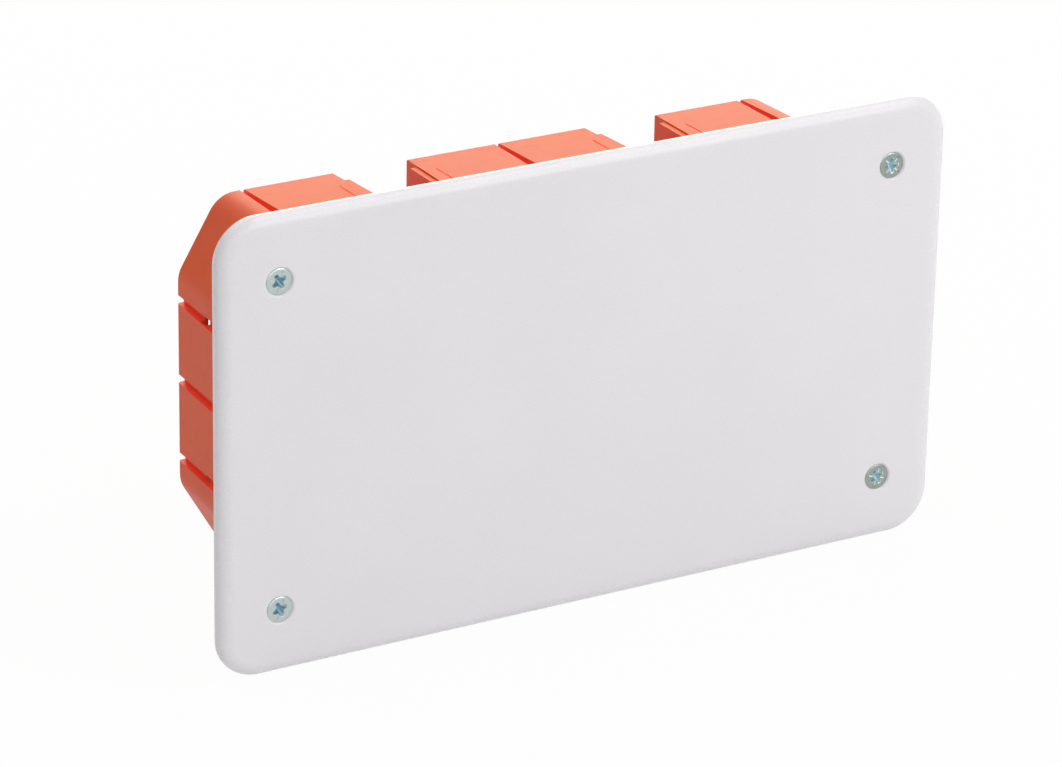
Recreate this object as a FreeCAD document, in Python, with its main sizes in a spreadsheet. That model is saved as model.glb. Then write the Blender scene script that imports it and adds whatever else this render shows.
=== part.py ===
import FreeCAD, Part
import os
import re
import Sketcher

# Flush junction box for a solid wall: an orange tub with a screwed-on cover.
# All lengths are millimetres. The origin is the middle of the back face,
# +X runs to the right, +Z up, and the cover faces -Y.

SIZES = {
    # tub and its flange
    "flange_width": 172.0,
    "flange_height": 96.0,
    "flange_thick": 2.0,
    "flange_corner": 6.0,
    "flange_edge": 0.5,
    "box_depth": 45.0,
    "tub_inset": 6.0,
    "tub_draft": 2.0,
    "wall": 2.4,
    "back_wall": 2.4,
    "lip_height": 0.7,
    # slanted corners of the tub
    "slant_across": 10.0,
    "slant_up": 17.0,
    "bend_long": 7.0,
    "bend_short": 7.0,
    "bend_inside": 1.2,
    "back_bevel": 0.5,
    # conduit channels in the long sides
    "channel_out": 32.3,
    "channel_width": 18.9,
    "channel_depth": 9.0,
    "rail_width": 1.6,
    "rail_start": 5.0,
    "rail_drop": 0.35,
    "slit_gap": 2.7,
    "slit_width": 0.5,
    "slit_depth": 0.5,
    "slit_start": 9.0,
    # break-out grooves
    "groove_depth": 1.6,
    "side_pitch": 18.9,
    "side_groove_back": 2.0,
    "side_groove_front": 3.2,
    "long_groove_out": 64.2,
    "long_groove_back": 1.1,
    "long_groove_front": 3.2,
    # lever windows through the outer side grooves
    "window_start": 11.4,
    "window_length": 2.7,
    "window_drop": 3.4,
    "window_lip": 0.3,
    # break-out rings
    "ring_radius": 6.4,
    "ring_width": 0.9,
    "ring_depth": 1.2,
    "ring_middle": 22.0,
    "ring_height": 3.0,
    "back_ring_out": 38.0,
    "back_ring_radius": 11.0,
    # fixing holes through the back
    "fixing_out": 72.8,
    "fixing_up": 11.8,
    "fixing_radius": 2.6,
    # screw bosses under the flange corners
    "screw_inset_across": 8.5,
    "screw_inset_up": 9.5,
    "boss_radius": 4.0,
    "boss_length": 16.5,
    "boss_floor": 2.0,
    "web_width": 3.0,
    "web_reach": 6.0,
    # cover
    "overhang_across": 6.2,
    "overhang_up": 5.7,
    "cover_wall": 2.0,
    "cover_rim": 2.0,
    "cover_corner": 10.0,
    "cover_edge": 2.0,
    "seat_gap": 0.3,
    "rim_gap": 0.2,
    "tab_length": 5.0,
    "tab_thick": 1.4,
    "tab_gap": 0.5,
    "tab_end_gap": 4.0,
    # cover screws
    "screw_radius": 1.75,
    "screw_length": 16.0,
    "screw_point": 1.5,
    "point_radius": 0.8,
    "head_radius": 3.05,
    "head_rim": 0.15,
    "head_sink": 0.15,
    "head_gap": 0.08,
    "shank_gap": 0.08,
    "cross_half": 1.85,
    "cross_width": 0.95,
    "cross_depth": 1.7,
    "cross_taper": 8.0,
    "mark_inner": 1.3,
    "mark_outer": 2.6,
    "mark_width": 0.2,
    "mark_depth": 0.15,
    # how far each screw is turned anticlockwise, seen from the front
    "turn_top_left": 30.0,
    "turn_top_right": 3.0,
    "turn_bottom_left": 24.0,
    "turn_bottom_right": 28.0,
}

# Sizes that follow from the ones above. All depths count forward from the back face.
DERIVED = {
    "lip_top": "box_depth - cover_wall - seat_gap",
    "flange_front": "lip_top - lip_height",
    "flange_back": "flange_front - flange_thick",
    "back_half_width": "flange_width / 2 - tub_inset",
    "back_half_height": "flange_height / 2 - tub_inset",
    "slope": "tan(tub_draft)",
    "growth": "lip_top * slope",
    "flange_growth": "flange_back * slope",
    "slant_length": "sqrt(slant_across^2 + slant_up^2)",
    "mouth_half_width": "back_half_width + growth - wall",
    "mouth_half_height": "back_half_height + growth - wall",
    "mouth_bend_up": "back_half_height + growth - slant_up - wall * (slant_length - slant_up) / slant_across",
    "mouth_bend_across":
        "back_half_width + growth - slant_across - wall * (slant_length - slant_across) / slant_up",
    "channel_near": "channel_out - channel_width / 2",
    "channel_far": "channel_out + channel_width / 2",
    "channel_floor": "back_half_height - channel_depth",
    "bump_near": "channel_near + growth - wall",
    "bump_far": "channel_far - growth + wall",
    "bump_floor": "channel_floor + growth - wall",
    "past_side": "flange_width / 2 + overhang_across",
    "past_top": "flange_height / 2 + overhang_up",
    "screw_out": "flange_width / 2 - screw_inset_across",
    "screw_up": "flange_height / 2 - screw_inset_up",
    "cover_back": "flange_front + rim_gap",
    "cover_inside": "box_depth - cover_wall",
    "dish_half_width": "past_side - cover_rim",
    "dish_half_height": "past_top - cover_rim",
    "tab_side": "mouth_half_width - tab_gap",
    "tab_top": "mouth_half_height - tab_gap",
    "hole_radius": "screw_radius + shank_gap",
    "head_under": "head_rim + head_radius - screw_radius",
    "seat_radius": "head_radius + head_rim + head_sink + head_gap * sqrt(2)",
}

CORNERS = {
    "top_left": (-1, 1),
    "top_right": (1, 1),
    "bottom_left": (-1, -1),
    "bottom_right": (1, -1),
}

doc = FreeCAD.newDocument("junction_box")
sheet = doc.addObject("Spreadsheet::Sheet", "sizes")
for row, (alias, number) in enumerate(SIZES.items(), start=1):
    sheet.set("A%d" % row, alias)
    sheet.set("B%d" % row, str(number))
    sheet.setAlias("B%d" % row, alias)
doc.recompute()


def ex(text):
    """Turn a formula of size names into an expression on the sheet."""
    def swap(match):
        word = match.group(0)
        if word in DERIVED:
            return "(" + ex(DERIVED[word]) + ")"
        if word in SIZES:
            return "sizes." + word
        return word
    return re.sub(r"[a-z_]+", swap, text)


def value(text):
    return float(sheet.evalExpression(ex(text)))


def mirrored(text):
    return "-(" + text + ")"


def around(quarter):
    """Repeat the corners of one quarter in all four, in order round the outline."""
    left = [(mirrored(a), b) for a, b in reversed(quarter)]
    below = [(a, mirrored(b)) for a, b in reversed(quarter)]
    opposite = [(mirrored(a), mirrored(b)) for a, b in quarter]
    return quarter + left + opposite + below


def new_body(name):
    body = doc.addObject("PartDesign::Body", name)
    body.Label = name
    doc.recompute()
    return body


def origin_item(body, role):
    return next(item for item in body.Origin.OriginFeatures if item.Role == role)


def new_sketch(body, name, role="XZ_Plane", offset="0", lean=None):
    """A sketch on an origin plane, moved by offset along its normal, which is -Y for XZ_Plane.

    A lean is an axis of the sketch and the angle that the sketch is turned about it.
    """
    sketch = body.newObject("Sketcher::SketchObject", name)
    sketch.AttachmentSupport = [(origin_item(body, role), "")]
    sketch.MapMode = "FlatFace"
    if lean:
        turn = FreeCAD.Rotation(lean[0], value(lean[1]))
        sketch.AttachmentOffset = FreeCAD.Placement(FreeCAD.Vector(), turn)
        sketch.setExpression("AttachmentOffset.Rotation.Angle", ex(lean[1]))
    sketch.setExpression("AttachmentOffset.Base.z", ex(offset))
    return sketch


def bind(sketch, constraint, text):
    index = sketch.addConstraint(constraint)
    sketch.setExpression("Constraints[%d]" % index, ex(text))


def pin(sketch, geometry, point, across, up):
    """Hold a point of the sketch at a place given by two formulas."""
    bind(sketch, Sketcher.Constraint("DistanceX", geometry, point, value(across)), across)
    bind(sketch, Sketcher.Constraint("DistanceY", geometry, point, value(up)), up)


def polygon(sketch, corners):
    first = sketch.GeometryCount
    points = [FreeCAD.Vector(value(across), value(up), 0) for across, up in corners]
    for index, point in enumerate(points):
        sketch.addGeometry(Part.LineSegment(point, points[(index + 1) % len(points)]))
    for index, (across, up) in enumerate(corners):
        following = first + (index + 1) % len(points)
        sketch.addConstraint(Sketcher.Constraint("Coincident", first + index, 2, following, 1))
        pin(sketch, first + index, 1, across, up)


def rectangle(sketch, left, right, low, high):
    polygon(sketch, [(left, low), (right, low), (right, high), (left, high)])


def circle(sketch, across, up, radius):
    centre = FreeCAD.Vector(value(across), value(up), 0)
    geometry = sketch.addGeometry(Part.Circle(centre, FreeCAD.Vector(0, 0, 1), value(radius)))
    pin(sketch, geometry, 3, across, up)
    bind(sketch, Sketcher.Constraint("Radius", geometry, value(radius)), radius)


def signed(sign, text):
    return text if sign > 0 else mirrored(text)


def extrude(body, kind, name, sketch, length, taper=None, backward=False):
    """Pad or pocket a sketch. A pad goes along the sketch's normal, a pocket against it."""
    feature = body.newObject("PartDesign::" + kind, name)
    feature.Profile = sketch
    feature.setExpression("Length", ex(length))
    if taper:
        feature.setExpression("TaperAngle", ex(taper))
    feature.Reversed = backward
    sketch.Visibility = False
    doc.recompute()
    return feature


def soften(body, kind, name, size, chosen):
    """Fillet or chamfer the edges of the body so far that the test picks."""
    base = body.Tip
    names = ["Edge%d" % (n + 1) for n, edge in enumerate(base.Shape.Edges) if chosen(edge)]
    feature = body.newObject("PartDesign::" + kind, name)
    feature.Base = (base, names)
    feature.setExpression("Radius" if kind == "Fillet" else "Size", ex(size))
    doc.recompute()
    return feature


def ends(edge):
    return [vertex.Point for vertex in edge.Vertexes]


def runs_deep(edge):
    """True for an edge that runs from back to front."""
    points = ends(edge)
    return len(points) == 2 and abs(points[0].y - points[1].y) > 0.9 * edge.Length


def lies_at(edge, depth):
    return all(abs(point.y + depth) < 0.001 for point in ends(edge))


def centred(middle, width):
    """The two ends of a span of a given width about a middle."""
    return ["%s - (%s) / 2" % (middle, width), "%s + (%s) / 2" % (middle, width)]


def four(corners):
    """The same outline, given for the top right, in all four quarters."""
    return [[(signed(across, a), signed(up, b)) for a, b in corners] for across, up in CORNERS.values()]


def circles(sketch, across, up, radius):
    """A circle at the same place in all four quarters."""
    for place in four([(across, up)]):
        circle(sketch, place[0][0], place[0][1], radius)


def make_tub(body):
    """Drafted tub with slanted, rounded corners."""
    outline = new_sketch(body, "tub_outline")
    polygon(outline, around([
        ("back_half_width", "back_half_height - slant_up"),
        ("back_half_width - slant_across", "back_half_height"),
    ]))
    extrude(body, "Pad", "tub", outline, "lip_top", "tub_draft")
    middle = value("back_half_height - slant_up / 2")
    soften(body, "Fillet", "short_side_bends", "bend_short",
           lambda edge: runs_deep(edge) and abs(edge.CenterOfMass.z) < middle)
    soften(body, "Fillet", "long_side_bends", "bend_long",
           lambda edge: runs_deep(edge) and abs(edge.CenterOfMass.z) > middle)
    soften(body, "Chamfer", "back_edge", "back_bevel", lambda edge: lies_at(edge, 0))


def make_channels(body):
    """Conduit channels that narrow with the mould's draft, with a rail along each side."""
    rail_gap = "channel_width / 2 - rail_width"
    for name, half_width, floor, length in (
        ("channel_tails", "channel_width / 2", "channel_floor", "rail_start"),
        ("channels", rail_gap, "channel_floor", "flange_back"),
        ("rail_tops", "channel_width / 2", "back_half_height - rail_drop", "flange_back"),
    ):
        outline = new_sketch(body, name + "_outline")
        near, far = centred("channel_out", "2 * (%s)" % half_width)
        for corners in four([(near, floor), (far, floor), (far, "past_top"), (near, "past_top")]):
            polygon(outline, corners)
        extrude(body, "Pocket", name, outline, length, mirrored("tub_draft"), True)
    for word, up in (("top", 1), ("bottom", -1)):
        height = signed(up, "channel_floor + ring_height")
        outline = new_sketch(body, word + "_ring_outline", "XY_Plane", height)
        for across in (-1, 1):
            for radius in ("ring_radius", "ring_radius - ring_width"):
                circle(outline, signed(across, "channel_out"), "-ring_middle", radius)
        depth = "ring_height + ring_depth - ring_middle * slope"
        extrude(body, "Pocket", word + "_channel_rings", outline, depth, backward=up < 0)


def side_cuts(body, word, side, places, width_back, width_front, depth, start):
    """Cut narrow grooves in one side whose floor follows the draft.

    The side is an origin plane and a direction: X or Z, to the plus or minus side.
    """
    role, sign = side
    across_top = role == "XY_Plane"
    axis = FreeCAD.Vector(1, 0, 0) if across_top else FreeCAD.Vector(0, 1, 0)
    half = "back_half_height" if across_top else "back_half_width"
    angle = signed(-sign if across_top else sign, "tub_draft")
    floor = signed(sign, "%s - (%s)" % (half, depth))
    outline = new_sketch(body, word + "_outline", role, floor, (axis, angle))
    front = "-(flange_back + flange_thick / 2)"
    for place in places:
        back_low, back_high = centred(place, width_back)
        front_low, front_high = centred(place, width_front)
        corners = [(back_low, start), (back_high, start), (front_high, front), (front_low, front)]
        polygon(outline, corners if across_top else [(along, over) for over, along in corners])
    extrude(body, "Pocket", word, outline, "past_top - back_half_height", backward=sign > 0)


def make_grooves(body):
    """Break-out grooves on all four sides, and a slit beside each rail of the channels."""
    for word, sign in (("top", 1), ("bottom", -1)):
        side = ("XY_Plane", sign)
        side_cuts(body, word + "_grooves", side, ["-long_groove_out", "0", "long_groove_out"],
                  "long_groove_back", "long_groove_front", "groove_depth", "1")
        slits = [signed(across, place) for across in (-1, 1)
                 for place in ("channel_near - slit_gap", "channel_far + slit_gap")]
        side_cuts(body, word + "_slits", side, slits, "slit_width", "slit_width", "slit_depth", "-slit_start")
    for word, sign in (("right", 1), ("left", -1)):
        side_cuts(body, word + "_grooves", ("YZ_Plane", sign), ["-side_pitch", "0", "side_pitch"],
                  "side_groove_back", "side_groove_front", "groove_depth", "1")
    outline = new_sketch(body, "window_outline", offset="window_start")
    outside = "(back_half_width + window_start * slope - window_lip)"
    for corners in four([
        (outside, "side_pitch - side_groove_back / 2"),
        (outside, "side_pitch + side_groove_back / 2"),
        (outside + " - wall", "side_pitch + side_groove_back / 2"),
        (outside + " - wall", "side_pitch - side_groove_back / 2 - window_drop"),
    ]):
        polygon(outline, corners)
    extrude(body, "Pocket", "lever_windows", outline, "window_length", backward=True)


def make_back_holes(body):
    """Fixing holes and the rings of the round break-outs in the back."""
    outline = new_sketch(body, "fixing_outline")
    circles(outline, "fixing_out", "fixing_up", "fixing_radius")
    extrude(body, "Pocket", "fixing_holes", outline, "back_wall", backward=True)
    outline = new_sketch(body, "back_ring_outline")
    for side in (-1, 1):
        for radius in ("back_ring_radius", "back_ring_radius - ring_width"):
            circle(outline, signed(side, "back_ring_out"), "0", radius)
    extrude(body, "Pocket", "back_rings", outline, "ring_depth", backward=True)


def make_flange(body):
    """Flange round the mouth, and the screw bosses through its corners with their webs."""
    outline = new_sketch(body, "flange_outline", offset="flange_back")
    rectangle(outline, "-flange_width / 2", "flange_width / 2", "-flange_height / 2", "flange_height / 2")
    extrude(body, "Pad", "flange", outline, "flange_thick")
    reach = value("flange_width / 2")
    soften(body, "Fillet", "flange_corners", "flange_corner",
           lambda edge: runs_deep(edge) and abs(abs(edge.CenterOfMass.x) - reach) < 0.001)
    front = value("flange_front")
    rim = value("back_half_width + growth + 1"), value("back_half_height + growth + 1")

    def inside_rim(edge):
        return abs(edge.CenterOfMass.x) < rim[0] and abs(edge.CenterOfMass.z) < rim[1]
    soften(body, "Chamfer", "flange_edges", "flange_edge",
           lambda edge: lies_at(edge, front) and not inside_rim(edge))
    outline = new_sketch(body, "boss_outline", offset="flange_front - boss_length")
    circles(outline, "screw_out", "screw_up", "boss_radius")
    extrude(body, "Pad", "screw_bosses", outline, "boss_length + lip_height")
    outline = new_sketch(body, "web_outline", offset="flange_front - boss_length")
    along = ("web_width / 2 * slant_across / slant_length", "web_width / 2 * slant_up / slant_length")
    inward = ("web_reach * slant_up / slant_length", "web_reach * slant_across / slant_length")
    quad = []
    for sign, reach in ((1, 0), (-1, 0), (-1, 1), (1, 1)):
        quad.append((
            "screw_out + %d * %s - %d * %s" % (sign, along[0], reach, inward[0]),
            "screw_up - %d * %s - %d * %s" % (sign, along[1], reach, inward[1]),
        ))
    for corners in four(quad):
        polygon(outline, corners)
    extrude(body, "Pad", "boss_webs", outline, "boss_length")


def make_chamber(body):
    """Wiring chamber, with walls of even thickness that step in round the channels."""
    outline = new_sketch(body, "chamber_outline", offset="lip_top")
    polygon(outline, around([
        ("mouth_half_width", "mouth_bend_up"),
        ("mouth_bend_across", "mouth_half_height"),
        ("bump_far", "mouth_half_height"),
        ("bump_far", "bump_floor"),
        ("bump_near", "bump_floor"),
        ("bump_near", "mouth_half_height"),
    ]))
    extrude(body, "Pocket", "chamber", outline, "lip_top - back_wall", mirrored("tub_draft"))
    shortest = value("lip_top - back_wall - 1")
    inside = value("mouth_half_width"), value("mouth_half_height")
    slack = value("growth")
    past_channel = value("bump_far + 2")

    def is_bend(edge):
        if not runs_deep(edge) or edge.Length < shortest:
            return False
        off_side = inside[0] - abs(edge.CenterOfMass.x)
        off_top = inside[1] - abs(edge.CenterOfMass.z)
        clear = abs(edge.CenterOfMass.x) > past_channel
        return -0.001 < off_side < slack or (-0.001 < off_top < slack and clear)
    soften(body, "Fillet", "chamber_bends", "bend_inside", is_bend)


def make_box_body():
    body = new_body("box_body")
    make_tub(body)
    make_channels(body)
    make_grooves(body)
    make_back_holes(body)
    make_flange(body)
    make_chamber(body)
    outline = new_sketch(body, "pilot_outline", offset="lip_top")
    circles(outline, "screw_out", "screw_up", "hole_radius")
    extrude(body, "Pocket", "pilot_holes", outline, "boss_length + lip_height - boss_floor")
    return body


def make_cover():
    """Shallow cover with a soft front edge, tabs that centre it in the mouth, and screw seats."""
    body = new_body("cover")
    outline = new_sketch(body, "cover_outline", offset="cover_back")
    rectangle(outline, "-past_side", "past_side", "-past_top", "past_top")
    extrude(body, "Pad", "blank", outline, "box_depth - cover_back")
    outline = new_sketch(body, "dish_outline", offset="cover_back")
    rectangle(outline, "-dish_half_width", "dish_half_width", "-dish_half_height", "dish_half_height")
    extrude(body, "Pocket", "dish", outline, "cover_inside - cover_back", backward=True)
    inside, front = value("dish_half_width + 0.001"), value("box_depth")
    soften(body, "Fillet", "dish_corners", "cover_corner - cover_rim",
           lambda edge: runs_deep(edge) and abs(edge.CenterOfMass.x) < inside)
    soften(body, "Fillet", "corners", "cover_corner",
           lambda edge: runs_deep(edge) and abs(edge.CenterOfMass.x) > inside)
    soften(body, "Fillet", "front_edge", "cover_edge", lambda edge: lies_at(edge, front))

    # tabs beside the long walls, the short walls and between the channels
    outline = new_sketch(body, "tab_outline", offset="cover_inside - tab_length")
    inner_end = "bump_near - tab_end_gap"
    for side in (-1, 1):
        beside_top = [signed(side, "tab_top"), signed(side, "tab_top - tab_thick")]
        beside_side = [signed(side, "tab_side"), signed(side, "tab_side - tab_thick")]
        rectangle(outline, mirrored(inner_end), inner_end, beside_top[0], beside_top[1])
        upright = "mouth_bend_up - tab_end_gap"
        rectangle(outline, beside_side[0], beside_side[1], mirrored(upright), upright)
        for across in (-1, 1):
            near = signed(across, "bump_far + tab_end_gap")
            far = signed(across, "mouth_bend_across - tab_end_gap")
            rectangle(outline, near, far, beside_top[0], beside_top[1])
    extrude(body, "Pad", "tabs", outline, "tab_length")

    # countersunk screw seats
    outline = new_sketch(body, "seat_outline", offset="box_depth")
    circles(outline, "screw_out", "screw_up", "hole_radius")
    seats = body.newObject("PartDesign::Hole", "screw_seats")
    seats.Profile = outline
    doc.recompute()
    seats.ThreadType = "None"
    seats.DepthType = "ThroughAll"
    seats.HoleCutType = "Countersink"
    seats.HoleCutCustomValues = True
    seats.setExpression("Diameter", ex("2 * hole_radius"))
    seats.setExpression("HoleCutDiameter", ex("2 * seat_radius"))
    seats.HoleCutCountersinkAngle = 90
    doc.recompute()
    return body


def make_screw(word, across, up):
    """Flat countersunk screw, made with its point up and laid into its seat."""
    body = new_body("cover_screw_" + word)
    profile = new_sketch(body, word + "_profile")
    polygon(profile, [
        ("0", "0"),
        ("head_radius", "0"),
        ("head_radius", "head_rim"),
        ("screw_radius", "head_under"),
        ("screw_radius", "screw_length - screw_point"),
        ("point_radius", "screw_length"),
        ("0", "screw_length"),
    ])
    turned = body.newObject("PartDesign::Revolution", word + "_blank")
    turned.Profile = profile
    turned.ReferenceAxis = (profile, ["V_Axis"])
    turned.Angle = 360
    doc.recompute()

    # cross recess, and the fine marks between its arms
    half_width = "cross_width / 2"
    cross = new_sketch(body, word + "_cross_outline", "XY_Plane")
    polygon(cross, around([("cross_half", half_width), (half_width, half_width), (half_width, "cross_half")]))
    extrude(body, "Pocket", word + "_cross", cross, "cross_depth", mirrored("cross_taper"), True)
    marks = new_sketch(body, word + "_mark_outline", "XY_Plane")
    quad = []
    for reach, side in (("mark_inner", -1), ("mark_outer", -1), ("mark_outer", 1), ("mark_inner", 1)):
        quad.append(("(%s - %d * mark_width / 2) * sqrt(0.5)" % (reach, side),
                     "(%s + %d * mark_width / 2) * sqrt(0.5)" % (reach, side)))
    for outline in four(quad):
        polygon(marks, outline)
    extrude(body, "Pocket", word + "_marks", marks, "mark_depth", backward=True)

    lay = FreeCAD.Rotation(FreeCAD.Vector(1, 0, 0), -90)
    turn = FreeCAD.Rotation(FreeCAD.Vector(0, 0, 1), -value("turn_" + word))
    body.Placement = FreeCAD.Placement(FreeCAD.Vector(), lay.multiply(turn))
    body.setExpression("Placement.Base.x", ex(signed(across, "screw_out")))
    body.setExpression("Placement.Base.y", ex("head_sink - box_depth"))
    body.setExpression("Placement.Base.z", ex(signed(up, "screw_up")))
    doc.recompute()
    return body


def check_objects():
    """Stop if any object failed or any piece has no sound solid."""
    for item in doc.Objects:
        if "Invalid" in item.State or "Error" in item.State:
            raise RuntimeError("%s failed: %s" % (item.Name, item.State))
    for item in pieces:
        if item.Shape.isNull() or not item.Shape.isValid() or len(item.Shape.Solids) != 1:
            raise RuntimeError("%s has no sound solid" % item.Label)


pieces = [make_box_body(), make_cover()]
pieces += [make_screw(word, across, up) for word, (across, up) in CORNERS.items()]
doc.recompute()
check_objects()
os.makedirs("parts", exist_ok=True)
for piece in pieces:
    piece.Shape.exportStep("parts/%s.step" % piece.Label)
    print(piece.Label, round(piece.Shape.Volume), len(piece.Shape.Faces))
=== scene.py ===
import bpy
import math
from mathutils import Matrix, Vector


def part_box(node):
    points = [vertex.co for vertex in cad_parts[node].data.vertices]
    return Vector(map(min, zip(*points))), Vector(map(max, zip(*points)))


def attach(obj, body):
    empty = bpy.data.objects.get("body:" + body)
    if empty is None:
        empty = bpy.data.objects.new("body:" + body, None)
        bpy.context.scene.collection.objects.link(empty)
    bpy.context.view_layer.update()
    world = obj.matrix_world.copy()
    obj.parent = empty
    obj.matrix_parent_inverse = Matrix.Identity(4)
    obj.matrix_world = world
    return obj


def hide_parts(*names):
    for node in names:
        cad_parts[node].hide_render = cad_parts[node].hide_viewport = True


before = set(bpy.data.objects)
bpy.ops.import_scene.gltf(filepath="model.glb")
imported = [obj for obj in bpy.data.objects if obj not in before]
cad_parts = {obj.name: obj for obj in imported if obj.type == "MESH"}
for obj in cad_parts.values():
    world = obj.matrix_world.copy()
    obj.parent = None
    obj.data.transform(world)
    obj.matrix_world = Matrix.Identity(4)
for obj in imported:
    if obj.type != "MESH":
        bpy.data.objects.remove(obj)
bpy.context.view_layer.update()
mm = 0.001
screwPlace = (77.5 * mm, 38.5 * mm)    # the screws' axes, out and up from the middle
black = (0.0, 0.0, 0.0, 1.0)
fullWhite = (1.0, 1.0, 1.0, 1.0)
noiseMiddle = 0.5


# shader maths on sockets: wires and plain numbers are added and multiplied like ordinary values
class Wire:
    def __init__(self, tree, socket):
        self.tree = tree
        self.socket = socket

    def maths(self, operation, first, second=0.0):
        node = self.tree.nodes.new("ShaderNodeMath")
        node.operation = operation
        for socket, part in zip(node.inputs, (first, second)):
            plug(self.tree, socket, part)
        return Wire(self.tree, node.outputs[0])

    def __add__(self, other):
        return self.maths("ADD", self, other)

    def __radd__(self, other):
        return self.maths("ADD", other, self)

    def __sub__(self, other):
        return self.maths("SUBTRACT", self, other)

    def __rsub__(self, other):
        return self.maths("SUBTRACT", other, self)

    def __mul__(self, other):
        return self.maths("MULTIPLY", self, other)

    def __rmul__(self, other):
        return self.maths("MULTIPLY", other, self)

    def __pow__(self, other):
        return self.maths("POWER", self, other)

    def __abs__(self):
        return self.maths("ABSOLUTE", self)


def plug(tree, socket, part):
    if isinstance(part, Wire):
        tree.links.new(part.socket, socket)
    else:
        socket.default_value = part


# the nodes of a material or a world, put together one by one
class Nodes:
    def __init__(self, owner):
        self.owner = owner
        self.owner.use_nodes = True
        self.tree = owner.node_tree
        self.tree.nodes.clear()

    def node(self, kind, settings=None, inputs=None, out=0):
        node = self.tree.nodes.new(kind)
        for key, value in (settings or {}).items():
            setattr(node, key, value)
        for key, part in (inputs or {}).items():
            plug(self.tree, node.inputs[key], part)
        return Wire(self.tree, node.outputs[out]) if node.outputs else None

    def shown(self):
        # 1 where the camera, a reflection or a clear piece shows it, 0 where it lights the object
        seen = self.node("ShaderNodeLightPath", out="Is Camera Ray")
        glossy = self.node("ShaderNodeLightPath", out="Is Glossy Ray")
        through = self.node("ShaderNodeLightPath", out="Is Transmission Ray")
        return seen + glossy + through


# one material of the object, with its coordinates, noises and masks
class Finish(Nodes):
    def __init__(self, name):
        super().__init__(bpy.data.materials.new(name))
        self.place = self.node("ShaderNodeTexCoord", out="Object")
        self.x = self.node("ShaderNodeSeparateXYZ", inputs={"Vector": self.place}, out="X")
        self.y = self.node("ShaderNodeSeparateXYZ", inputs={"Vector": self.place}, out="Y")
        self.z = self.node("ShaderNodeSeparateXYZ", inputs={"Vector": self.place}, out="Z")

    def noise(self, scale, detail=2.0, roughness=0.5, stretch=None):
        vector = self.place
        if stretch:
            vector = self.node("ShaderNodeMapping", inputs={"Vector": vector, "Scale": stretch})
        return self.node("ShaderNodeTexNoise", inputs={
            "Vector": vector, "Scale": scale, "Detail": detail, "Roughness": roughness}, out="Fac")

    def between(self, amount, low, high):
        # 0 below low, 1 above high, smooth between
        return self.node("ShaderNodeMapRange", {"interpolation_type": "SMOOTHSTEP"}, {
            "Value": amount, "From Min": low, "From Max": high}, out="Result")

    def below(self, first, second):
        # 1 where the first is less than the second
        return self.node("ShaderNodeMath", {"operation": "LESS_THAN"}, {0: first, 1: second})

    def inside(self, amount, low, high):
        return self.below(low, amount) * self.below(amount, high)

    def blend(self, amount, first, second):
        # the Mix node keeps its colours at sockets 6 and 7 and gives the mixed one at output 2
        return self.node("ShaderNodeMix", {"data_type": "RGBA"},
                         {0: amount, 6: first, 7: second}, out=2)

    def bump(self, height, distance, strength=1.0, normal=None):
        inputs = {"Height": height, "Distance": distance, "Strength": strength}
        if normal:
            inputs["Normal"] = normal
        return self.node("ShaderNodeBump", inputs=inputs, out="Normal")

    def close(self, inputs):
        shader = self.node("ShaderNodeBsdfPrincipled", inputs=inputs)
        self.node("ShaderNodeOutputMaterial", inputs={"Surface": shader})
        return self.owner


def linear(colour):
    # a colour picked on the screen, 0 to 255, as the shader wants it
    def one(part):
        part = part / 255
        return part / 12.92 if part <= 0.04045 else ((part + 0.055) / 1.055) ** 2.4
    red, green, blue = colour
    return (one(red), one(green), one(blue), 1.0)


# orange moulding of the tub: slightly waxy and finely grained,
# with a painted glow and a redder painted colour on the thin floors of its grooves and slits, for
# light through the plastic
tubFinish = {
    "colour": (229, 84, 36),
    "pale": (233, 92, 42),
    "deep": (218, 75, 32),
    "deepShare": 0.25,
    "roughness": 0.5,
    "ior": 1.38,
    "flow": {"scale": 28.0, "detail": 3.0, "stretch": (1.0, 0.5, 1.0)},
    "flowLimits": (0.35, 0.7),
    "flowRoughness": 0.1,
    "cloud": {"scale": 190.0},
    "cloudLimits": (0.45, 0.8),
    "rub": {"scale": 900.0, "detail": 3.0, "roughness": 0.6, "stretch": (0.12, 1.0, 0.4)},
    "rubLimits": (0.58, 0.72),
    "rubRoughness": 0.08,
    "grain": {"scale": 5200.0},
    "grainDepth": 0.00002,
    # painted light: the groove floors' redder colour and glow and the slits' glow stand in for
    # light through the thin plastic
    "thinPaintedColour": (230, 70, 44),
    "thinPaintedGlow": (0.125, 0.011, 0.006, 1.0),
    "slitPaintedGlow": (0.36, 0.09, 0.045, 1.0),
    "backHalf": (80.0 * mm, 42.0 * mm),    # half the back's width and height
    "draft": 2.0,                          # degrees that the walls lean outwards to the front
    "thinFrom": (0.01 * mm, 0.15 * mm),    # depth below the outside at which a groove begins
    "thinTo": 2.1 * mm,
    "sideReach": 21.6 * mm,
    "topGroove": 64.2 * mm,
    "topReach": 1.75 * mm,
    "grooveRun": (-39.9 * mm, -0.1 * mm),
    "channelMiddle": 32.3 * mm,
    "slitReach": (11.8 * mm, 12.5 * mm),   # from the channel's middle
}


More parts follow.
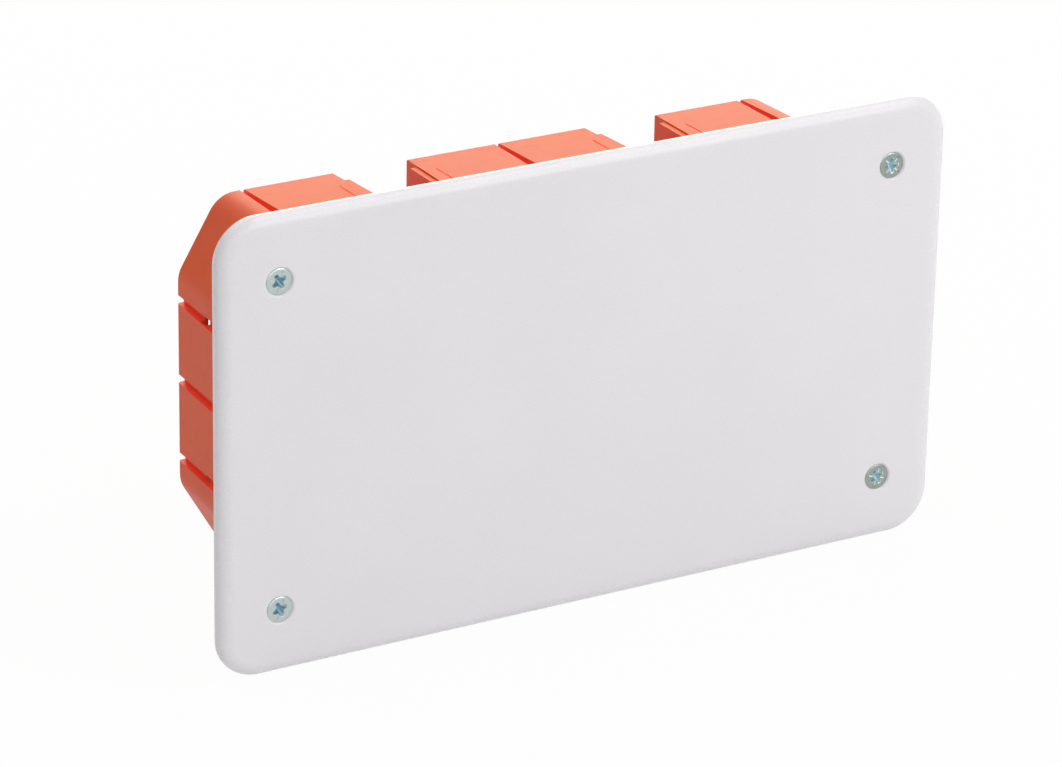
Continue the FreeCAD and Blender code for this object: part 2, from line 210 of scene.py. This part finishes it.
def makeTubPlastic():
    finish = Finish("orange_plastic")
    flow = finish.noise(**tubFinish["flow"])
    cloud = finish.noise(**tubFinish["cloud"])
    grain = finish.noise(**tubFinish["grain"])
    rub = finish.noise(**tubFinish["rub"])
    mottled = finish.blend(finish.between(flow, *tubFinish["flowLimits"]),
                           linear(tubFinish["colour"]), linear(tubFinish["pale"]))
    clouded = finish.between(cloud, *tubFinish["cloudLimits"]) * tubFinish["deepShare"]
    colour = finish.blend(clouded, mottled, linear(tubFinish["deep"]))

    def sunk(depth):
        # 1 where a point lies as deep as the floor of a groove or slit
        begins = finish.between(depth, *tubFinish["thinFrom"])
        return begins * finish.below(depth, tubFinish["thinTo"])

    # how far a point lies below the drafted outside of the tub, and where that is in a groove
    growth = finish.y * -math.tan(math.radians(tubFinish["draft"]))
    halfWidth, halfHeight = tubFinish["backHalf"]
    onSide = sunk(halfWidth + growth - abs(finish.x))
    onSide = onSide * finish.below(abs(finish.z), tubFinish["sideReach"])
    onTop = sunk(halfHeight + growth - abs(finish.z))
    fromGroove = abs(abs(finish.x) - tubFinish["topGroove"])
    outerGroove = finish.below(fromGroove, tubFinish["topReach"])
    middleGroove = finish.below(abs(finish.x), tubFinish["topReach"])
    fromChannel = abs(abs(finish.x) - tubFinish["channelMiddle"])
    slits = onTop * finish.inside(fromChannel, *tubFinish["slitReach"])
    grooves = onSide + onTop * (outerGroove + middleGroove)
    thin = grooves * finish.inside(finish.y, *tubFinish["grooveRun"])
    # painted glow: the groove floors get a redder colour and an emission, the slits a brighter
    # emission, for light through the thin plastic
    colour = finish.blend(thin, colour, linear(tubFinish["thinPaintedColour"]))
    paintedGlow = finish.blend(thin, black, tubFinish["thinPaintedGlow"])
    paintedGlow = finish.blend(slits, paintedGlow, tubFinish["slitPaintedGlow"])

    rubbed = finish.between(rub, *tubFinish["rubLimits"]) * tubFinish["rubRoughness"]
    uneven = (flow - noiseMiddle) * tubFinish["flowRoughness"]
    roughness = tubFinish["roughness"] + uneven + rubbed
    normal = finish.bump(grain, tubFinish["grainDepth"])
    return finish.close({"Base Color": colour, "Roughness": roughness, "Normal": normal,
                         "IOR": tubFinish["ior"],
                         "Emission Color": paintedGlow, "Emission Strength": 1.0})


# white moulding of the cover
coverFinish = {
    "colour": (241, 238, 242),
    "shade": (238, 236, 239),
    "roughness": 0.27,
    "ior": 1.5,
    "flow": {"scale": 22.0, "detail": 3.0},
    "flowLimits": (0.3, 0.7),
    "grain": {"scale": 3600.0},
    "grainDepth": 0.000012,
    "grainRoughness": 0.12,
    "ripple": {"scale": 60.0, "detail": 1.0},
    "rippleDepth": 0.00004,
    "rippleStrength": 0.5,
}


def makeCoverPlastic():
    finish = Finish("white_plastic")
    flow = finish.noise(**coverFinish["flow"])
    grain = finish.noise(**coverFinish["grain"])
    ripple = finish.noise(**coverFinish["ripple"])
    colour = finish.blend(finish.between(flow, *coverFinish["flowLimits"]),
                          linear(coverFinish["shade"]), linear(coverFinish["colour"]))
    uneven = (grain - noiseMiddle) * coverFinish["grainRoughness"]
    roughness = coverFinish["roughness"] + uneven
    normal = finish.bump(ripple, coverFinish["rippleDepth"], coverFinish["rippleStrength"])
    normal = finish.bump(grain, coverFinish["grainDepth"], normal=normal)
    return finish.close({"Base Color": colour, "Roughness": roughness, "Normal": normal,
                         "IOR": coverFinish["ior"]})


# bright zinc of the screws, bluish in the recess, with painted shade on the two right screws and
# painted highlights at the recess's edge
zincFinish = {
    "colour": (188, 199, 197),
    "recess": (160, 188, 200),
    # painted reflection on the two right screws: a darker face and a lighter recess
    "paintedShadeRight": (154, 164, 158),
    "paintedLitRecessRight": (180, 204, 212),
    # painted highlight along the recess's edge and in the marks
    "paintedHighlight": (240, 250, 252),
    "highlightDepth": (-44.84 * mm, -44.7 * mm),
    "highlightRadius": 2.1 * mm,
    "highlightShare": 0.15,
    "highlightMore": 0.75,                      # added on the two right screws, painted darker
    "headFace": -44.75 * mm,
    "recessDepth": 0.5 * mm,
    "recessRadius": (1.7 * mm, 2.0 * mm),
    "roughness": 0.3,
    "cloud": {"scale": 700.0, "detail": 3.0},
    "cloudRoughness": 0.25,
    "fine": {"scale": 6000.0},
    "ringScale": 42000.0,
    "ringShare": 0.3,
    "fineDepth": 0.000008,
}


def makeZinc():
    finish = Finish("zinc_steel")
    out, up = screwPlace
    across = abs(finish.x) - out
    above = abs(finish.z) - up
    radius = (across * across + above * above) ** 0.5
    cloud = finish.noise(**zincFinish["cloud"])
    fine = finish.noise(**zincFinish["fine"])
    face = zincFinish["headFace"]
    deep = finish.between(finish.y, face, face + zincFinish["recessDepth"])
    inside = 1.0 - finish.between(radius, *zincFinish["recessRadius"])
    # painted reflection: the two screws on the right get a darker face and a lighter recess,
    # standing in for the darker reflections they show
    paintedRight = finish.below(0.0, finish.x)
    colour = finish.blend(paintedRight, linear(zincFinish["colour"]), linear(zincFinish["paintedShadeRight"]))
    recess = finish.blend(paintedRight, linear(zincFinish["recess"]), linear(zincFinish["paintedLitRecessRight"]))
    colour = finish.blend(deep * inside, colour, recess)
    # painted highlight: brighter metal along the recess's edge and in the marks, most of all on
    # those two
    paintedHighlight = finish.inside(finish.y, *zincFinish["highlightDepth"])
    paintedHighlight = paintedHighlight * finish.below(radius, zincFinish["highlightRadius"])
    paintedHighlight = paintedHighlight * (paintedRight * zincFinish["highlightMore"] + zincFinish["highlightShare"])
    colour = finish.blend(paintedHighlight, colour, linear(zincFinish["paintedHighlight"]))
    turned = radius * zincFinish["ringScale"]
    rings = finish.node("ShaderNodeMath", {"operation": "SINE"}, {0: turned})
    roughness = zincFinish["roughness"] + (cloud - noiseMiddle) * zincFinish["cloudRoughness"]
    normal = finish.bump(rings * zincFinish["ringShare"] + fine, zincFinish["fineDepth"])
    return finish.close({"Base Color": colour, "Roughness": roughness, "Normal": normal,
                         "Metallic": 1.0})


def dress(obj, material):
    obj.data.materials.clear()
    obj.data.materials.append(material)


orange = makeTubPlastic()
white = makeCoverPlastic()
zinc = makeZinc()
print("finishes made")

dress(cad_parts["box_body"], orange)

closeEnough = 0.00001    # a hundredth of a millimetre
straight = 0.99          # how squarely a face has to look along an axis
sharpAngle = 32.0        # degrees past which an edge stays sharp


def near(a, b):
    return abs(a - b) < closeEnough


def bothAt(depth, a, b):
    # an edge that lies in the plane at that depth
    return near(a.y, depth) and near(b.y, depth)


def looksForward(centre, normal):
    return normal.y < -straight


def looksBack(centre, normal):
    return normal.y > straight


def inMetres(profile):
    return [(depth * mm, radius * mm) for depth, radius in profile]


def pickNothing():
    if bpy.context.mode != "OBJECT":
        bpy.ops.object.mode_set(mode="OBJECT")
    bpy.ops.object.select_all(action="DESELECT")


def pickOnly(obj):
    # what the next operators act on
    pickNothing()
    obj.select_set(True)
    bpy.context.view_layer.objects.active = obj


def pick(obj, kind, test):
    # edit mode, with only the faces, edges or points picked that pass the test
    pickOnly(obj)
    bpy.ops.object.mode_set(mode="EDIT")
    bpy.ops.mesh.select_mode(type=kind)
    bpy.ops.mesh.select_all(action="DESELECT")
    bpy.ops.object.mode_set(mode="OBJECT")
    mesh = obj.data
    if kind == "FACE":
        for face in mesh.polygons:
            face.select = test(face.center, face.normal)
    elif kind == "EDGE":
        for edge in mesh.edges:
            edge.select = test(*[mesh.vertices[number].co for number in edge.vertices])
    else:
        for point in mesh.vertices:
            point.select = test(point.co)
    bpy.ops.object.mode_set(mode="EDIT")


def softenPicked(size, segments, kind="EDGES"):
    bpy.ops.mesh.bevel(offset=size, offset_type="OFFSET", segments=segments, affect=kind,
                       clamp_overlap=False)


def pullPicked(move):
    bpy.ops.mesh.extrude_region_move(TRANSFORM_OT_translate={"value": move})


def narrowPicked(ratio, depth):
    # drawn in towards the Y axis, with the depth kept
    bpy.ops.transform.resize(value=(ratio, 1, ratio), center_override=(0, depth, 0))


def drawOut(levels):
    # the picked outline grows along Y, level by level, each with its depth and width
    for (depth, width), (nextDepth, nextWidth) in zip(levels, levels[1:]):
        pullPicked((0, nextDepth - depth, 0))
        narrowPicked(nextWidth / width, nextDepth)


def turnOutwards():
    # all faces point out, and edit mode ends
    bpy.ops.mesh.select_all(action="SELECT")
    bpy.ops.mesh.normals_make_consistent(inside=False)
    bpy.ops.object.mode_set(mode="OBJECT")


def settle():
    # place, turn and size go into the mesh
    bpy.ops.object.transform_apply(location=True, rotation=True, scale=True)


def startBlock(name, low, high):
    # a cube between two corners, ready to shape
    pickNothing()
    middle = [(a + b) / 2 for a, b in zip(low, high)]
    bpy.ops.mesh.primitive_cube_add(size=1.0, location=middle)
    block = bpy.context.object
    block.name = name
    block.scale = [b - a for a, b in zip(low, high)]
    settle()
    return block


def turnUp(name, profile, sides):
    # round solid on the Y axis: a disc, extruded and resized ring by ring
    firstDepth, firstRadius = profile[0]
    pickNothing()
    bpy.ops.mesh.primitive_circle_add(vertices=sides, radius=firstRadius, fill_type="NGON",
                                      location=(0, firstDepth, 0), rotation=(math.pi / 2, 0, 0))
    solid = bpy.context.object
    solid.name = name
    settle()
    bpy.ops.object.mode_set(mode="EDIT")
    bpy.ops.mesh.select_all(action="SELECT")
    drawOut(profile)
    turnOutwards()
    return solid


def copyTo(obj, place, turn=0.0):
    # a copy with its own mesh, turned about Y and moved
    twin = obj.copy()
    twin.data = obj.data.copy()
    bpy.context.scene.collection.objects.link(twin)
    twin.rotation_euler = (0, turn, 0)
    twin.location = place
    pickOnly(twin)
    settle()
    return twin


def carve(obj, tool, operation="DIFFERENCE"):
    # cuts the tool out of the piece, or joins it on, and uses it up
    pickOnly(obj)
    step = obj.modifiers.new("carve", "BOOLEAN")
    step.operation = operation
    step.solver = "EXACT"
    step.object = tool
    bpy.ops.object.modifier_apply(modifier=step.name)
    bpy.data.objects.remove(tool)


def finishOff(piece, node, body, material):
    # smooth shading that leaves flat faces flat, then the piece takes its node's place
    pickOnly(piece)
    bpy.ops.object.shade_smooth_by_angle(angle=math.radians(sharpAngle))
    level = piece.modifiers.new("level", "WEIGHTED_NORMAL")
    level.keep_sharp = True
    bpy.ops.object.modifier_apply(modifier=level.name)
    piece.name = node + "_piece"
    dress(piece, material)
    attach(piece, body)
    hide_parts(node)


# white cover: shallow dish, tabs behind, countersunk seats
coverPiece = {
    "rimBack": -42.2 * mm,
    "inside": -43.0 * mm,
    "corner": 10.0 * mm,
    "cornerSteps": 24,
    "edgeAcross": 3.6 * mm,
    "edgeDeep": 2.2 * mm,
    "edgeSteps": 12,
    "rim": 2.0 * mm,
    "acrossRim": (0.9, 1.2),       # edges this long, in rims, run across it
    "softBack": 0.12 * mm,
    "softBackSteps": 2,
    "tabSide": 78.59 * mm,
    "tabTop": 40.59 * mm,
    "tabThick": 1.4 * mm,
    "tabEnd": -38.0 * mm,
    "tabSunk": 0.3 * mm,           # how far a tab starts inside the plate
    "tabRound": 1.2 * mm,
    "tabRoundSteps": 6,
    "tabInset": 0.01 * mm,
    "tabLead": 0.3 * mm,
    "tabLeadSteps": 2,
    "middleTab": 17.94 * mm,
    "outerTab": (46.66 * mm, 66.12 * mm),
    "uprightTab": 21.84 * mm,
    "seatProfile": ((-45.3, 3.98), (-44.995, 3.565), (-44.97, 3.47), (-44.92, 3.385),
                    (-43.37, 1.83), (-42.8, 1.83)),
    "seatSides": 64,
    "pinPlaces": ((0, 27), (46, 12), (46, -12), (0, -27), (-46, -12), (-46, 12)),
    "pinRadius": 2.5 * mm,
    "pinTaper": 0.97,
    "pinDepth": 0.12 * mm,
    "pinPast": 1.0 * mm,
    "pinSides": 40,
}


def makeTab(left, right, low, high):
    # one centring tab, reaching into the plate, with softened ends and a lead-in
    sunk, end = coverPiece["inside"] - coverPiece["tabSunk"], coverPiece["tabEnd"]
    tab = startBlock("tab", (left, sunk, low), (right, end, high))
    long = 0 if right - left > high - low else 2
    ends = (left, right) if long == 0 else (low, high)
    pick(tab, "EDGE", lambda a, b: bothAt(end, a, b) and near(a[long], b[long])
         and (near(a[long], ends[0]) or near(a[long], ends[1])))
    softenPicked(coverPiece["tabRound"], coverPiece["tabRoundSteps"])
    pick(tab, "FACE", looksBack)
    bpy.ops.mesh.inset(thickness=coverPiece["tabInset"])
    pick(tab, "EDGE", lambda a, b: bothAt(end, a, b) and not near(a[long], b[long]))
    softenPicked(coverPiece["tabLead"], coverPiece["tabLeadSteps"])
    bpy.ops.object.mode_set(mode="OBJECT")
    return tab


def makeCover():
    low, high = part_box("cover")
    front, back, rim = low.y, coverPiece["rimBack"], coverPiece["rim"]
    across, deep = coverPiece["edgeAcross"], coverPiece["edgeDeep"]
    cover = startBlock("cover_shell", (low.x, front + deep, low.z), (high.x, back, high.z))
    pick(cover, "EDGE", lambda a, b: near(a.x, b.x) and near(a.z, b.z))
    softenPicked(coverPiece["corner"], coverPiece["cornerSteps"])
    # the front edge is rounded wider than deep:
    # the face goes in and forward along a quarter ellipse
    pick(cover, "FACE", looksForward)
    steps = coverPiece["edgeSteps"]
    for step in range(steps):
        start, end = [math.radians(90 * number / steps) for number in (step, step + 1)]
        bpy.ops.mesh.inset(thickness=across * (math.cos(start) - math.cos(end)),
                           depth=deep * (math.sin(end) - math.sin(start)))
    pick(cover, "FACE", looksBack)
    bpy.ops.mesh.inset(thickness=rim)
    pullPicked((0, coverPiece["inside"] - back, 0))
    # both edges of the rim, but not the short edges across it
    shortest, longest = [rim * share for share in coverPiece["acrossRim"]]
    pick(cover, "EDGE", lambda a, b: bothAt(back, a, b)
         and not shortest < (a - b).length < longest)
    softenPicked(coverPiece["softBack"], coverPiece["softBackSteps"])

    side, top, thick = coverPiece["tabSide"], coverPiece["tabTop"], coverPiece["tabThick"]
    middle, upright = coverPiece["middleTab"], coverPiece["uprightTab"]
    first, last = coverPiece["outerTab"]
    tabs = [makeTab(left, right, top - thick, top)
            for left, right in ((-middle, middle), (first, last), (-last, -first))]
    tabs.append(makeTab(side - thick, side, -upright, upright))
    tabs += [copyTo(tab, (0, 0, 0), math.pi) for tab in tabs]
    for tab in tabs:
        carve(cover, tab, "UNION")

    seat = turnUp("seat", inMetres(coverPiece["seatProfile"]), coverPiece["seatSides"])
    out, up = screwPlace
    for place in ((-out, 0, up), (out, 0, up), (-out, 0, -up), (out, 0, -up)):
        carve(cover, copyTo(seat, place))
    bpy.data.objects.remove(seat)

    # round marks that the mould's pins leave inside
    inside, depth, radius = [coverPiece[key] for key in ("inside", "pinDepth", "pinRadius")]
    pin = turnUp("pin", [(inside - depth, radius * coverPiece["pinTaper"]),
                         (inside + coverPiece["pinPast"], radius)], coverPiece["pinSides"])
    for x, z in coverPiece["pinPlaces"]:
        carve(cover, copyTo(pin, (x * mm, 0, z * mm)))
    bpy.data.objects.remove(pin)
    finishOff(cover, "cover", "lid", white)


# flat countersunk screws with a cross recess and fine marks between its arms
screwPiece = {
    "headFace": -44.85 * mm,
    "profile": ((-44.85, 2.5), (-44.84, 2.66), (-44.81, 2.82), (-44.76, 2.96), (-44.7, 3.05),
                (-44.6, 2.95), (-43.4, 1.75), (-43.1, 1.45), (-42.7, 1.26), (-31.0, 1.26),
                (-30.2, 1.26), (-29.5, 1.22), (-28.86, 1.1)),
    "sides": 64,
    "armReach": 1.85 * mm,
    "armWidth": 0.95 * mm,
    "armTip": 0.98,                # points past this share of the reach are an arm's end
    "armRound": 0.7,               # of half the arm's width
    "armRoundSteps": 5,
    "cornerReach": 0.86 * mm,
    "cornerSteps": 5,
    "recess": ((-45.1, 1.0), (-44.85, 1.0), (-44.2, 0.82), (-43.5, 0.4), (-43.2, 0.16)),
    "recessEdge": 0.06 * mm,
    "recessEdgeSteps": 2,
    "flatShare": 0.95,             # how much of the face's radius the recess's edge may take
    "markReach": (1.15 * mm, 2.6 * mm),
    "markWidth": 0.28 * mm,
    "markDepth": 0.13 * mm,
    "markTurns": (45, 135, 225, 315),
    "crest": 1.74 * mm,
    "root": 1.18 * mm,
    "pitch": 1.36 * mm,
    "ridgeShare": 0.24,            # half the ridge's width, as a share of the pitch
    "threadStart": -43.0 * mm,
    "threadTurns": 9,
    "threadSteps": 32,
    "pointStart": -31.4 * mm,
    "pointEnd": -28.85 * mm,
    "pointSteps": 12,
    "pointRatio": 0.87,
    "turns": {"top_left": -30.0, "top_right": -3.0, "bottom_left": -24.0, "bottom_right": -28.0},
}


def makeRecess():
    # a cross of four arms with rounded ends and inner corners, drawn down to a point
    half, reach = screwPiece["armWidth"] / 2, screwPiece["armReach"]
    levels = [(depth * mm, ratio) for depth, ratio in screwPiece["recess"]]
    pickNothing()
    bpy.ops.mesh.primitive_plane_add(size=half * 2, location=(0, levels[0][0], 0),
                                     rotation=(math.pi / 2, 0, 0))
    cross = bpy.context.object
    settle()
    for across, up in ((1, 0), (-1, 0), (0, 1), (0, -1)):
        pick(cross, "EDGE", lambda a, b: near((a.x + b.x) / 2, across * half)
             and near((a.z + b.z) / 2, up * half))
        pullPicked((across * (reach - half), 0, up * (reach - half)))
    bpy.ops.mesh.select_all(action="SELECT")
    bpy.ops.mesh.dissolve_faces()
    tip = reach * screwPiece["armTip"]
    pick(cross, "VERT", lambda point: max(abs(point.x), abs(point.z)) > tip)
    softenPicked(half * screwPiece["armRound"], screwPiece["armRoundSteps"], "VERTICES")
    pick(cross, "VERT", lambda point: near(abs(point.x), half) and near(abs(point.z), half))
    softenPicked(screwPiece["cornerReach"], screwPiece["cornerSteps"], "VERTICES")
    bpy.ops.mesh.select_all(action="SELECT")
    drawOut(levels)
    turnOutwards()
    return cross


def makeThread():
    # the ridge's section, swept round the shank by the Screw modifier
    crest, root, pitch = screwPiece["crest"], screwPiece["root"], screwPiece["pitch"]
    pickNothing()
    bpy.ops.mesh.primitive_circle_add(vertices=4, radius=1.0, fill_type="NOTHING")
    ridge = bpy.context.object
    ridge.scale = ((crest - root) / 2, pitch * screwPiece["ridgeShare"], 1)
    ridge.location = ((crest + root) / 2, screwPiece["threadStart"], 0)
    settle()
    sweep = ridge.modifiers.new("sweep", "SCREW")
    sweep.axis = "Y"
    sweep.angle = math.radians(360)
    sweep.screw_offset = pitch
    sweep.iterations = screwPiece["threadTurns"]
    sweep.steps = screwPiece["threadSteps"]
    sweep.render_steps = screwPiece["threadSteps"]
    bpy.ops.object.modifier_apply(modifier=sweep.name)
    # both open ends are closed
    bpy.ops.object.mode_set(mode="EDIT")
    bpy.ops.mesh.select_mode(type="EDGE")
    bpy.ops.mesh.select_all(action="DESELECT")
    bpy.ops.mesh.select_non_manifold()
    bpy.ops.mesh.fill()
    turnOutwards()
    return ridge


def makeScrews():
    profile = inMetres(screwPiece["profile"])
    screw = turnUp("screw", profile, screwPiece["sides"])
    face = screwPiece["headFace"]
    carve(screw, makeRecess())
    inner, outer = screwPiece["markReach"]
    width, depth = screwPiece["markWidth"], screwPiece["markDepth"]
    mark = startBlock("mark", (inner, face - depth, -width / 2), (outer, face + depth, width / 2))
    for turn in screwPiece["markTurns"]:
        carve(screw, copyTo(mark, (0, 0, 0), math.radians(turn)))
    bpy.data.objects.remove(mark)
    rimRadius = profile[0][1] * screwPiece["flatShare"]
    pick(screw, "EDGE", lambda a, b: bothAt(face, a, b)
         and max(a.xz.length, b.xz.length) < rimRadius)
    softenPicked(screwPiece["recessEdge"], screwPiece["recessEdgeSteps"])
    bpy.ops.object.mode_set(mode="OBJECT")
    carve(screw, makeThread(), "UNION")

    # the point: ring after ring drawn in towards the axis
    first, last, steps = [screwPiece[key] for key in ("pointStart", "pointEnd", "pointSteps")]
    for step in range(steps):
        level = first + (last - first) * step / steps
        pick(screw, "VERT", lambda point: point.y > level)
        narrowPicked(screwPiece["pointRatio"], level)
    bpy.ops.object.mode_set(mode="OBJECT")

    out, up = screwPlace
    for word, turn in screwPiece["turns"].items():
        place = (out if "right" in word else -out, 0, up if "top" in word else -up)
        twin = copyTo(screw, place, math.radians(turn))
        finishOff(twin, "cover_screw_" + word, "screw_" + word, zinc)
    bpy.data.objects.remove(screw)


makeCover()
print("cover modelled")
makeScrews()
print("screws modelled")

# camera, from the photo's own perspective
photo = {
    "width": 1062.0,
    "height": 767.0,
    "focus": 5115.3,               # in the photo's pixels
    "middle": (513.0, 406.1),
    "place": (-0.53392, -0.94307, 0.44362),
    "turn": (66.724, -0.9508, -29.369),
    "sensor": 36.0,
    "nearest": 0.01,
}


def makeCamera():
    data = bpy.data.cameras.new("camera")
    data.sensor_width = photo["sensor"]
    data.lens = photo["focus"] / photo["width"] * data.sensor_width
    data.shift_x = (photo["width"] / 2 - photo["middle"][0]) / photo["width"]
    data.shift_y = (photo["middle"][1] - photo["height"] / 2) / photo["width"]
    data.clip_start = photo["nearest"]
    camera = bpy.data.objects.new("camera", data)
    camera.location = photo["place"]
    camera.rotation_euler = [math.radians(angle) for angle in photo["turn"]]
    bpy.context.scene.collection.objects.link(camera)
    bpy.context.scene.camera = camera


# pale floor and plain studio light
studio = {
    "floorLevel": -54.0 * mm,
    "floorSize": 8.0,
    "floorColour": (0.85, 0.85, 0.85, 1.0),
    "floorShadow": 0.04,
    "worldLight": 0.3,
    "aim": (0.0, -0.03, 0.0),
}
plain = (1.0, 1.0, 1.0)
warmGreen = (0.94, 1.0, 0.78)
lamps = {
    "low": {"place": (0.73, -1.28, 0.67), "colour": plain, "size": 0.65, "power": 5.2},
    "middle": {"place": (0.73, -0.67, 1.27), "colour": plain, "size": 0.65, "power": 5.7},
    "high": {"place": (0.73, 0.18, 1.41), "colour": plain, "size": 0.65, "power": 1.8},
    "rear": {"place": (0.59, 1.05, 0.49), "colour": warmGreen, "size": 0.9, "power": 7.3},
    "left": {"place": (-0.4, 0.35, 0.95), "colour": plain, "size": 0.8, "power": 3.8},
    "front": {"place": (-0.4, -1.7, 0.45), "colour": plain, "size": 0.9, "power": 2.8},
    "glint": {"place": (0.16, -1.38, 0.5), "colour": plain, "size": 0.15, "power": 1.0},
}


def makeLamp(name, lamp):
    data = bpy.data.lights.new(name, "AREA")
    data.size = lamp["size"]
    data.energy = lamp["power"]
    data.color = lamp["colour"]
    light = bpy.data.objects.new(name, data)
    light.location = lamp["place"]
    aim = Vector(studio["aim"]) - light.location
    light.rotation_euler = aim.to_track_quat("-Z", "Y").to_euler()
    bpy.context.scene.collection.objects.link(light)


def makeFloor():
    pickNothing()
    level = (0, 0, studio["floorLevel"])
    bpy.ops.mesh.primitive_plane_add(size=studio["floorSize"], location=level)
    floor = bpy.context.object
    floor.name = "floor"
    # shown white, with a little of the plain floor left to hold the object's shadow
    nodes = Nodes(bpy.data.materials.new("floor_white"))
    pale = nodes.node("ShaderNodeBsdfDiffuse", inputs={"Color": studio["floorColour"]})
    bright = nodes.node("ShaderNodeEmission", inputs={"Color": fullWhite, "Strength": 1.0})
    share = nodes.shown() * (1.0 - studio["floorShadow"])
    mixed = nodes.node("ShaderNodeMixShader", inputs={0: share, 1: pale, 2: bright})
    nodes.node("ShaderNodeOutputMaterial", inputs={"Surface": mixed})
    floor.data.materials.append(nodes.owner)


def makeWorld():
    nodes = Nodes(bpy.data.worlds.new("studio"))
    light = studio["worldLight"]
    strength = light + nodes.shown() * (1.0 - light)
    background = nodes.node("ShaderNodeBackground", inputs={"Strength": strength})
    nodes.node("ShaderNodeOutputWorld", inputs={"Surface": background})
    bpy.context.scene.world = nodes.owner


makeCamera()
makeFloor()
makeWorld()
for name, lamp in lamps.items():
    makeLamp(name, lamp)
bpy.context.scene.view_settings.view_transform = "Standard"
print("studio made")
